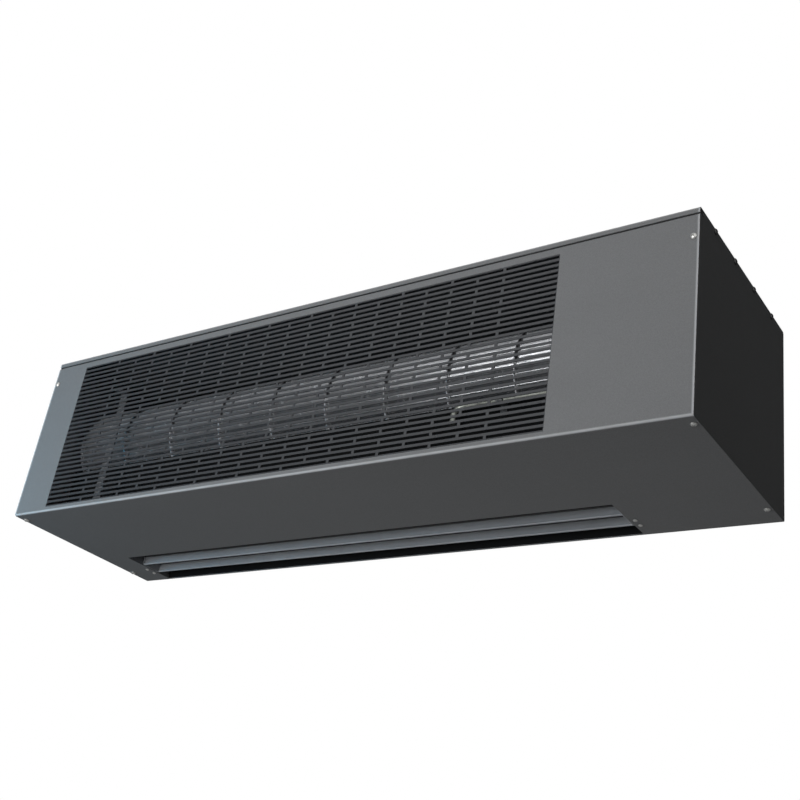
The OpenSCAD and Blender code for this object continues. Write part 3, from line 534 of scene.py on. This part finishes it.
def islands(node):
    """The separate solids of a CAD node, each as a list of its points."""
    mesh = NODES[node].data
    key = {}
    parent = []

    def root(item):
        while parent[item] != item:
            parent[item] = parent[parent[item]]
            item = parent[item]
        return item

    spot = []
    for vertex in mesh.vertices:
        place = tuple(round(value, WELD_DIGITS) for value in vertex.co)
        if place not in key:
            key[place] = len(parent)
            parent.append(len(parent))
        spot.append(key[place])
    for face in mesh.polygons:
        first = root(spot[face.vertices[0]])
        for other in face.vertices[1:]:
            parent[root(spot[other])] = first
    groups = {}
    for place, item in key.items():
        groups.setdefault(root(item), []).append(Vector(place))
    return list(groups.values())


def screw_seat(points):
    """Where a screw sits and how large it is.

    Returns the underside of its head, the direction of its shank, and the head's radius, the
    head's height and the shank's length.
    """
    low = Vector(min(p[i] for p in points) for i in range(3))
    high = Vector(max(p[i] for p in points) for i in range(3))
    size = high - low
    axis = max(range(3), key=lambda i: size[i])
    first, second = (axis + 1) % 3, (axis + 2) % 3
    middle = (low + high) / 2
    radius = max(size[first], size[second]) / 2

    def off_axis(point):
        return math.hypot(point[first] - middle[first], point[second] - middle[second])

    rim = [p[axis] for p in points if off_axis(p) > HEAD_RIM_FROM * radius]
    head_is_low = (min(rim) + max(rim)) / 2 < middle[axis]
    seat = Vector(middle)
    way = Vector((0, 0, 0))
    if head_is_low:
        seat[axis] = max(rim)
        way[axis] = 1.0
        height = seat[axis] - low[axis]
        length = high[axis] - seat[axis]
    else:
        seat[axis] = min(rim)
        way[axis] = -1.0
        height = high[axis] - seat[axis]
        length = seat[axis] - low[axis]
    return seat, way, radius, height, length


def cutter(radius, depth, slotted):
    """The tapered tool that sinks a cross or a slot into a head whose top is at z = 0."""
    nothing_selected()
    long, wide, narrow = SLOT_BAR if slotted else CROSS_BAR
    bars = []
    for turn in (0.0, math.pi / 2)[: 1 if slotted else 2]:
        bpy.ops.mesh.primitive_cube_add(size=1.0, location=(0, 0, 0))
        bar = bpy.context.object
        bar.scale = (long, wide, BAR_DEPTH)
        bpy.ops.object.transform_apply(scale=True)
        bpy.ops.object.mode_set(mode="EDIT")
        pick(bar, "polygons", lambda middle, normal: normal.z < -0.9)
        bpy.ops.transform.resize(value=(narrow, BAR_TAPER, 1.0))
        bpy.ops.object.mode_set(mode="OBJECT")
        fit = Matrix.Diagonal((radius, radius, depth, 1.0))
        bar.data.transform(Matrix.Rotation(turn, 4, "Z") @ fit)
        bars.append(bar)
    if len(bars) == 2:
        apply_boolean(bars[0], bars[1], "UNION")
    return bars[0]


def apply_boolean(piece, tool, operation):
    """Joins the tool to a piece or cuts it out, and removes the tool."""
    modifier = piece.modifiers.new(operation.capitalize(), "BOOLEAN")
    modifier.operation = operation
    modifier.object = tool
    bpy.context.view_layer.objects.active = piece
    bpy.ops.object.modifier_apply(modifier=modifier.name)
    bpy.data.objects.remove(tool)


def start_disc(sides, radius):
    """Adds a disc at the origin and leaves it selected in edit mode."""
    nothing_selected()
    bpy.ops.mesh.primitive_circle_add(vertices=sides, radius=radius, fill_type="NGON")
    disc = bpy.context.object
    bpy.ops.object.mode_set(mode="EDIT")
    bpy.ops.mesh.select_all(action="SELECT")
    return disc


def push(distance, share=None):
    """Extrudes the selected face along Z and scales its new end, if a share is given."""
    bpy.ops.mesh.extrude_region_move(TRANSFORM_OT_translate={"value": (0, 0, distance)})
    if share is not None:
        bpy.ops.transform.resize(value=(share, share, 1.0))


def close_solid():
    bpy.ops.mesh.select_all(action="SELECT")
    bpy.ops.mesh.normals_make_consistent(inside=False)
    bpy.ops.object.mode_set(mode="OBJECT")


def join_pieces(pieces):
    """Joins pieces into the first of them."""
    nothing_selected()
    for piece in pieces:
        piece.select_set(True)
    bpy.context.view_layer.objects.active = pieces[0]
    bpy.ops.object.join()
    return pieces[0]


def screw_pattern(radius, height, length, shank, slotted):
    """One pan-head screw along +Z with the underside of its head at z = 0, as an object."""
    screw = start_disc(HEAD_SIDES, radius * FOOT_RADIUS)
    rim = height * RIM_HEIGHT
    rise = height - rim
    dome = (radius * radius + rise * rise) / (2 * rise)
    steps = [(radius, FOOT_HEIGHT * height), (radius, rim)]
    for share in DOME_STEPS:
        up = rise * share
        steps.append((math.sqrt(max(dome**2 - (dome - rise + up) ** 2, 0.0)), rim + up))
    wide, high = radius * FOOT_RADIUS, 0.0
    for new_wide, new_high in steps:
        push(high - new_high, new_wide / wide)
        wide, high = new_wide, new_high
    push(high - height, CROWN)
    close_solid()
    tool = cutter(radius, height * RECESS_DEPTH, slotted)
    tool.data.transform(Matrix.Translation((0, 0, -height)))
    apply_boolean(screw, tool, "DIFFERENCE")
    stem = start_disc(SHANK_SIDES, shank)
    bpy.ops.transform.translate(value=(0, 0, -height * SHANK_SINK))
    push(length * SHANK_STRAIGHT + height * SHANK_SINK)
    push(length * SHANK_POINT, SHANK_TIP)
    close_solid()
    join_pieces([screw, stem])
    bpy.ops.object.shade_smooth_by_angle(angle=SMOOTH_BELOW)
    return screw


def dress_screws(name, node, finish, slot, shank, slotted=False, wanted=lambda way: True):
    """Stands in for the wanted plain screws of a CAD node with driven ones, each turned anew."""
    made = []
    pattern = None
    for number, points in enumerate(sorted(islands(node), key=lambda group: tuple(group[0]))):
        seat, way, radius, height, length = screw_seat(points)
        if not wanted(way):
            continue
        if pattern is None:
            pattern = screw_pattern(radius, height, length, shank, slotted)
        copy = pattern.copy()
        copy.data = pattern.data.copy()
        bpy.context.scene.collection.objects.link(copy)
        turn = Matrix.Rotation(number * SCREW_TURN, 4, "Z")
        aim = way.to_track_quat("Z", "Y").to_matrix().to_4x4()
        copy.data.transform(Matrix.Translation(seat) @ aim @ turn)
        made.append(copy)
    bpy.data.objects.remove(pattern)
    piece = join_pieces(made)
    piece.name = name
    piece.data.materials.clear()
    piece.data.materials.append(finish)
    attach(piece, "casing")
    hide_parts(node)


def coat_nodes(material, *nodes):
    """Puts a finish on CAD nodes, whose meshes stay as they are."""
    for node in nodes:
        mesh = NODES[node].data
        mesh.materials.clear()
        mesh.materials.append(material)


# ---------------------------------------------------------------- settings


def colour_setting(name, description, default):
    return bpy.props.FloatVectorProperty(
        name=name,
        description=description,
        default=default,
        subtype="COLOR",
        size=3,
        min=0.0,
        max=1.0,
    )


def length_setting(name, description, default):
    return bpy.props.FloatProperty(
        name=name, description=description, default=default, unit="LENGTH"
    )


def power_setting(name, description, default):
    return bpy.props.FloatProperty(
        name=name, description=description, default=default, unit="POWER"
    )


def place_setting(name, description, default):
    return bpy.props.FloatVectorProperty(
        name=name, description=description, default=default, subtype="XYZ", unit="LENGTH"
    )


def way_setting(name, description, default):
    return bpy.props.FloatVectorProperty(
        name=name, description=description, default=default, subtype="XYZ"
    )


class AirCurtainFinishes(bpy.types.PropertyGroup):
    """Colours of the finishes."""

    casing: colour_setting("Casing", "Powder coat of the casing", (0.166, 0.168, 0.171))
    # The primer is much darker than the coat; it also paints the shade inside the casing.
    primer_and_shade: colour_setting("Primer", "Dark primer inside the casing", (0.045, 0.046, 0.048))
    zinc: colour_setting("Zinc sheet", "Galvanised inner sheets", (0.20, 0.205, 0.215))
    wheel: colour_setting("Wheel", "Rolled aluminium of the fan wheel", (0.50, 0.51, 0.53))
    grille: colour_setting("Grille", "Satin black coat of the grille", (0.040, 0.042, 0.046))
    # Near black: the air path's colour also paints the shade inside it.
    duct: colour_setting("Air path", "Black coat of scroll and cut-off", (0.005, 0.0055, 0.006))
    louvre: colour_setting("Louvre", "Satin aluminium of the louvre", (0.33, 0.345, 0.365))
    plating: colour_setting("Plating", "Bright plating of screws and shafts", (0.30, 0.30, 0.295))
    black_plating: colour_setting("Black plating", "Oxide on dark screws", (0.08, 0.08, 0.08))
    tube: colour_setting("Sensor tube", "Drawn steel", (0.21, 0.22, 0.20))
    bronze: colour_setting("Bush", "Sintered bronze", (0.45, 0.33, 0.18))
    rubber: colour_setting("Rubber", "Buffers, rings, grommet and foam", (0.03, 0.03, 0.03))
    motor: colour_setting("Motor", "Enamel of the motor", (0.055, 0.060, 0.065))
    pale_plastic: colour_setting(
        "Pale plastic", "Terminal block, capacitor and bushes", (0.75, 0.75, 0.70)
    )
    dark_plastic: colour_setting("Dark plastic", "Relay and tube clip", (0.05, 0.055, 0.06))


class AirCurtainFittings(bpy.types.PropertyGroup):
    """Sizes of the fittings that are modelled here."""

    sheet: length_setting("Sheet", "Thickness of the casing's sheet", 0.0012)
    seal_inset: length_setting("Seal inset", "Foam strip behind the front face", 0.0014)
    seal_width: length_setting("Seal width", "Front-to-back width of the foam strip", 0.0085)
    panel_shank: length_setting("Panel screw", "Shank radius of the casing's screws", 0.0020)
    bracket_shank: length_setting("Bracket screw", "Shank radius of the louvre's screws", 0.0016)
    small_shank: length_setting(
        "Small screw", "Shank radius of bearing and clamp screws", 0.0015
    )


class AirCurtainStudio(bpy.types.PropertyGroup):
    """Floor, light and camera."""

    floor_drop: length_setting("Floor", "Floor below the unit's centre", 2.35)
    key_power: power_setting("Key light", "Soft box above and in front", 18.5)
    key_place: place_setting("Key place", "Middle of the key soft box", (0.30, -2.15, 0.95))
    low_power: power_setting("Low light", "Soft box below and in front", 32.0)
    low_place: place_setting("Low place", "Middle of the low soft box", (-0.60, -2.20, -0.60))
    side_power: power_setting("Side light", "Cool soft box past the left end", 2.5)
    side_place: place_setting("Side place", "Middle of the side soft box", (-0.95, -0.66, -0.20))
    top_power: power_setting("Top light", "Soft box overhead and behind", 62.0)
    top_place: place_setting("Top place", "Middle of the top soft box", (-0.50, 1.90, 2.15))
    room: bpy.props.FloatProperty(
        name="Room light", description="Even light of the room", default=0.04, min=0.0
    )
    camera_place: place_setting("Camera", "Place of the camera", (0.95444, -1.31636, -0.71122))
    camera_way: way_setting(
        "View", "Direction in which the camera looks", (-0.54657, 0.70431, 0.45300)
    )
    camera_up: way_setting(
        "Up", "Direction that is up in the picture", (0.14909, -0.45047, 0.88025)
    )
    lens: bpy.props.FloatProperty(
        name="Lens", description="Focal length on a 36 mm sensor", default=53.56
    )


# ---------------------------------------------------------------- operators


class AIRCURTAIN_OT_stage(bpy.types.Operator):
    """Lays the floor, hangs the lights and sets the camera"""

    bl_idname = "air_curtain.stage"
    bl_label = "Stage"

    def execute(self, context):
        studio = context.scene.air_curtain_studio
        nothing_selected()
        bpy.ops.mesh.primitive_plane_add(size=FLOOR_SIZE, location=(0, 0, 0))
        floor = context.object
        floor.name = "floor"
        bpy.ops.object.mode_set(mode="EDIT")
        bpy.ops.transform.translate(value=(0, 0, -studio.floor_drop))
        bpy.ops.object.mode_set(mode="OBJECT")
        ground = Finish("floor_paint", 0.8, specular=0.2)
        tone = ground.shade(FLOOR_GREY, ground.noise(3.0, detail=3.0), amount=0.015)
        floor.data.materials.append(ground.wear(tone))
        self.lift_floor(ground)
        hang = self.hang_light
        hang(context, "key_box", studio.key_power, studio.key_place, KEY_SIZE)
        hang(context, "low_box", studio.low_power, studio.low_place, LOW_SIZE, mirrored=True)
        hang(context, "side_box", studio.side_power, studio.side_place, SIDE_SIZE, COOL)
        hang(context, "top_box", studio.top_power, studio.top_place, TOP_SIZE)
        self.paint_room(context, studio.room)
        camera = bpy.data.objects.new("camera", bpy.data.cameras.new("camera"))
        context.scene.collection.objects.link(camera)
        back = -Vector(studio.camera_way).normalized()
        right = Vector(studio.camera_up).cross(back).normalized()
        up = back.cross(right)
        turn = Matrix((right, up, back)).transposed()
        camera.matrix_world = Matrix.Translation(studio.camera_place) @ turn.to_4x4()
        camera.data.lens = studio.lens
        camera.data.sensor_width = SENSOR_WIDTH
        camera.data.clip_start = NEAREST_SEEN
        context.scene.camera = camera
        context.scene.view_settings.view_transform = "Standard"
        return {"FINISHED"}

    def hang_light(self, context, name, power, place, size, colour=WHITE, mirrored=False):
        """Hangs a soft box that faces the unit; it shows in reflections only if mirrored."""
        lamp = bpy.data.lights.new(name, "AREA")
        lamp.energy = power
        lamp.shape = "RECTANGLE"
        lamp.size, lamp.size_y = size
        lamp.color = colour
        holder = bpy.data.objects.new(name, lamp)
        context.scene.collection.objects.link(holder)
        holder.location = place
        holder.rotation_euler = (-Vector(place)).to_track_quat("-Z", "Y").to_euler()
        holder.visible_camera = False
        holder.visible_glossy = mirrored

    def lift_floor(self, ground):
        """Mixes a pale glow into what the camera sees of the floor; less of it is reflected."""
        seen, through, mirrored = ground.rays()
        share = FLOOR_GLOW_SEEN * seen.larger(through) + FLOOR_GLOW_MIRRORED * mirrored
        glow = ground.node("ShaderNodeEmission", inputs={"Color": FLOOR_GLOW, "Strength": 1.0})
        mixed = ground.node("ShaderNodeMixShader", inputs={0: share, 2: glow})
        ground.tree.links.new(ground.shader.outputs[0], mixed.socket.node.inputs[1])
        end = ground.tree.nodes["Material Output"]
        ground.tree.links.new(mixed.socket, end.inputs["Surface"])

    def paint_room(self, context, strength):
        """White to the camera, darker past either end in reflections, and dim as a light."""
        world = bpy.data.worlds.new("room")
        context.scene.world = world
        world.use_nodes = True
        room = Board(world.node_tree)
        glow = room.tree.nodes["Background"]
        way = room.node("ShaderNodeTexCoord", output="Generated")
        past = room.node(
            "ShaderNodeVectorMath", {"operation": "DOT_PRODUCT"}, {0: way, 1: SHADE_SIDE}, "Value"
        )
        along = room.node("ShaderNodeSeparateXYZ", inputs={0: way}, output="X")
        grey = 1 - SHADE_SIDE_SHARE * past.ramp(*SHADE_SIDE_FADE)
        grey = grey * (1 - SHADE_LEFT_SHARE * along.ramp(*SHADE_LEFT_FADE))
        seen, through, mirrored = room.rays()
        plain = seen.larger(through)
        level = plain + (1 - plain) * (mirrored * grey + (1 - mirrored) * strength)
        room.tree.links.new(level.socket, glow.inputs["Strength"])
        tint = room.node(
            "ShaderNodeMix",
            {"data_type": "RGBA"},
            {0: plain.larger(mirrored), 6: ROOM_TINT, 7: ROOM_WHITE},
            2,
        )
        room.tree.links.new(tint.socket, glow.inputs["Color"])


class AIRCURTAIN_OT_casing(bpy.types.Operator):
    """Powder-coats the casing and the end panels"""

    bl_idname = "air_curtain.casing"
    bl_label = "Casing"

    def execute(self, context):
        finishes = context.scene.air_curtain_finishes
        coat = powder_coat("casing_paint", finishes.casing, 0.14, 0.5, finishes.primer_and_shade)
        coat_nodes(coat, "back_top_panel", "front_cover", "end_panel_left", "end_panel_right")
        return {"FINISHED"}


class AIRCURTAIN_OT_lip_seal(bpy.types.Operator):
    """Lays the foam strip between the cover's top edge and the top panel"""

    bl_idname = "air_curtain.lip_seal"
    bl_label = "Lip seal"

    def execute(self, context):
        sizes = context.scene.air_curtain_fittings
        under = CASE_HIGH.z - sizes.sheet
        cover_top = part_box("front_cover")[1].z
        front = CASE_FRONT + sizes.seal_inset
        width = sizes.seal_width
        nothing_selected()
        bpy.ops.mesh.primitive_cube_add(size=1.0, location=(0, 0, 0))
        seal = context.object
        seal.name = "lip_seal"
        bpy.ops.object.mode_set(mode="EDIT")
        bpy.ops.transform.resize(value=(2 * CASE_HIGH.x - SEAL_END_GAP, width, under - cover_top))
        bpy.ops.transform.translate(value=(0, front + width / 2, (under + cover_top) / 2))
        pick(
            seal,
            "edges",
            lambda middle, normal: middle.y < front + TOUCH and middle.z > under - TOUCH,
        )
        bpy.ops.mesh.bevel(offset=SEAL_ROUND, segments=SEAL_SEGMENTS, affect="EDGES")
        bpy.ops.object.mode_set(mode="OBJECT")
        foam = rubber("foam", context.scene.air_curtain_finishes.rubber)
        seal.data.materials.append(foam)
        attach(seal, "casing")
        return {"FINISHED"}


class AIRCURTAIN_OT_grille(bpy.types.Operator):
    """Powder-coats the punched grille"""

    bl_idname = "air_curtain.grille"
    bl_label = "Intake grille"

    def execute(self, context):
        colour = context.scene.air_curtain_finishes.grille
        coat_nodes(powder_coat("grille_paint", colour, 0.42, 0.27), "intake_grille")
        return {"FINISHED"}


class AIRCURTAIN_OT_air_path(bpy.types.Operator):
    """Finishes the scroll, the cut-off and the galvanised plates, hubs and brackets"""

    bl_idname = "air_curtain.air_path"
    bl_label = "Air path"

    def execute(self, context):
        finishes = context.scene.air_curtain_finishes
        # The scroll and the cut-off take a near-black coat that also paints the shade of the air
        # path.
        coat_nodes(black_shade_coat("duct_paint", finishes.duct), "scroll_sheet", "cutoff_sheet")
        zinc = galvanised("zinc_sheet", finishes.zinc, 0.38)
        coat_nodes(zinc, "fan_plate_left", "fan_plate_right", "front_stay", "left_hub")
        coat_nodes(zinc, "right_hub_plate", "bearing_housing", "motor_plate", "electrics_plate")
        coat_nodes(zinc, "capacitor_clip", "louvre_bracket_left", "louvre_bracket_right")
        return {"FINISHED"}


class AIRCURTAIN_OT_wheel(bpy.types.Operator):
    """Finishes the cross-flow wheel"""

    bl_idname = "air_curtain.wheel"
    bl_label = "Fan wheel"

    def execute(self, context):
        finishes = context.scene.air_curtain_finishes
        coat_nodes(wheel_aluminium("wheel_aluminium", finishes.wheel), "cross_flow_wheel")
        return {"FINISHED"}


class AIRCURTAIN_OT_drive(bpy.types.Operator):
    """Finishes the shafts, bearing, rubber mounts, louvre pins and motor"""

    bl_idname = "air_curtain.drive"
    bl_label = "Drive"

    def execute(self, context):
        finishes = context.scene.air_curtain_finishes
        bright = plated("plated_steel", finishes.plating, 0.26)
        coat_nodes(bright, "left_stub_shaft", "motor_shaft", "drive_boss", "motor_through_bolts")
        coat_nodes(bright, "motor_plate_screws", "louvre_pins")
        coat_nodes(plated("black_steel", finishes.black_plating, 0.40), "drive_boss_screw")
        coat_nodes(sintered("sintered_bronze", finishes.bronze), "bearing_bush")
        soft = rubber("black_rubber", finishes.rubber)
        coat_nodes(soft, "bearing_rubber_ring", "hub_rubber", "motor_buffers", "cable_grommet")
        coat_nodes(enamel("motor_paint", finishes.motor), "motor_body", "motor_end_bell")
        return {"FINISHED"}


class AIRCURTAIN_OT_electrics(bpy.types.Operator):
    """Finishes the terminal block, capacitor, relay, louvre bushes and the sensor's tube"""

    bl_idname = "air_curtain.electrics"
    bl_label = "Electrics"

    def execute(self, context):
        finishes = context.scene.air_curtain_finishes
        pale = moulded("pale_plastic", finishes.pale_plastic, 0.42)
        coat_nodes(pale, "terminal_block", "run_capacitor", "louvre_bushes")
        dark = moulded("dark_plastic", finishes.dark_plastic, 0.38)
        coat_nodes(dark, "control_relay", "sensor_clip")
        coat_nodes(drawn_tube("bright_steel", finishes.tube), "sensor_tube")
        return {"FINISHED"}


class AIRCURTAIN_OT_louvre(bpy.types.Operator):
    """Finishes the two-blade louvre"""

    bl_idname = "air_curtain.louvre"
    bl_label = "Louvre"

    def execute(self, context):
        finishes = context.scene.air_curtain_finishes
        coat_nodes(anodised("louvre_aluminium", finishes.louvre), "louvre")
        return {"FINISHED"}


class AIRCURTAIN_OT_screws(bpy.types.Operator):
    """Replaces the plain screws by ones with driven heads"""

    bl_idname = "air_curtain.screws"
    bl_label = "Screws"

    def execute(self, context):
        sizes = context.scene.air_curtain_fittings
        bright = (bpy.data.materials["plated_steel"], "plated_steel")
        black = (bpy.data.materials["black_steel"], "black_steel")
        panel = sizes.panel_shank
        small = sizes.small_shank
        dress_screws(
            "cover_screws", "end_panel_screws", *bright, panel, wanted=lambda way: abs(way.x) < 0.5
        )
        # The screws that face along X, in the end panels, take the black finish; the front and
        # bottom ones take the bright one.
        dress_screws(
            "side_screws", "end_panel_screws", *black, panel, wanted=lambda way: abs(way.x) > 0.5
        )
        dress_screws("bracket_screws", "louvre_bracket_screws", *bright, sizes.bracket_shank)
        dress_screws("housing_screws", "bearing_screws", *bright, small)
        dress_screws("clamp_screws", "terminal_screws", *bright, small, slotted=True)
        return {"FINISHED"}


class AIRCURTAIN_PT_sidebar(bpy.types.Panel):
    """Lists the steps that dress the air curtain"""

    bl_idname = "AIRCURTAIN_PT_sidebar"
    bl_label = "Air Curtain"
    bl_space_type = "VIEW_3D"
    bl_region_type = "UI"
    bl_category = "Air Curtain"

    def draw(self, context):
        for group in ("air_curtain_finishes", "air_curtain_fittings", "air_curtain_studio"):
            box = self.layout.box()
            owner = getattr(context.scene, group)
            for name in owner.__annotations__:
                box.prop(owner, name)
        for step in STEPS:
            self.layout.operator(step.bl_idname)


STEPS = (
    AIRCURTAIN_OT_stage,
    AIRCURTAIN_OT_casing,
    AIRCURTAIN_OT_lip_seal,
    AIRCURTAIN_OT_grille,
    AIRCURTAIN_OT_air_path,
    AIRCURTAIN_OT_wheel,
    AIRCURTAIN_OT_drive,
    AIRCURTAIN_OT_electrics,
    AIRCURTAIN_OT_louvre,
    AIRCURTAIN_OT_screws,
)
GROUPS = (AirCurtainFinishes, AirCurtainFittings, AirCurtainStudio)


def register():
    for part in GROUPS + STEPS + (AIRCURTAIN_PT_sidebar,):
        bpy.utils.register_class(part)
    bpy.types.Scene.air_curtain_finishes = bpy.props.PointerProperty(type=AirCurtainFinishes)
    bpy.types.Scene.air_curtain_fittings = bpy.props.PointerProperty(type=AirCurtainFittings)
    bpy.types.Scene.air_curtain_studio = bpy.props.PointerProperty(type=AirCurtainStudio)


def unregister():
    del bpy.types.Scene.air_curtain_studio
    del bpy.types.Scene.air_curtain_fittings
    del bpy.types.Scene.air_curtain_finishes
    for part in reversed(GROUPS + STEPS + (AIRCURTAIN_PT_sidebar,)):
        bpy.utils.unregister_class(part)


def main():
    register()
    bpy.ops.air_curtain.stage()
    bpy.ops.air_curtain.casing()
    bpy.ops.air_curtain.lip_seal()
    bpy.ops.air_curtain.grille()
    bpy.ops.air_curtain.air_path()
    bpy.ops.air_curtain.wheel()
    bpy.ops.air_curtain.drive()
    bpy.ops.air_curtain.electrics()
    bpy.ops.air_curtain.louvre()
    bpy.ops.air_curtain.screws()


if __name__ == "__main__":
    main()
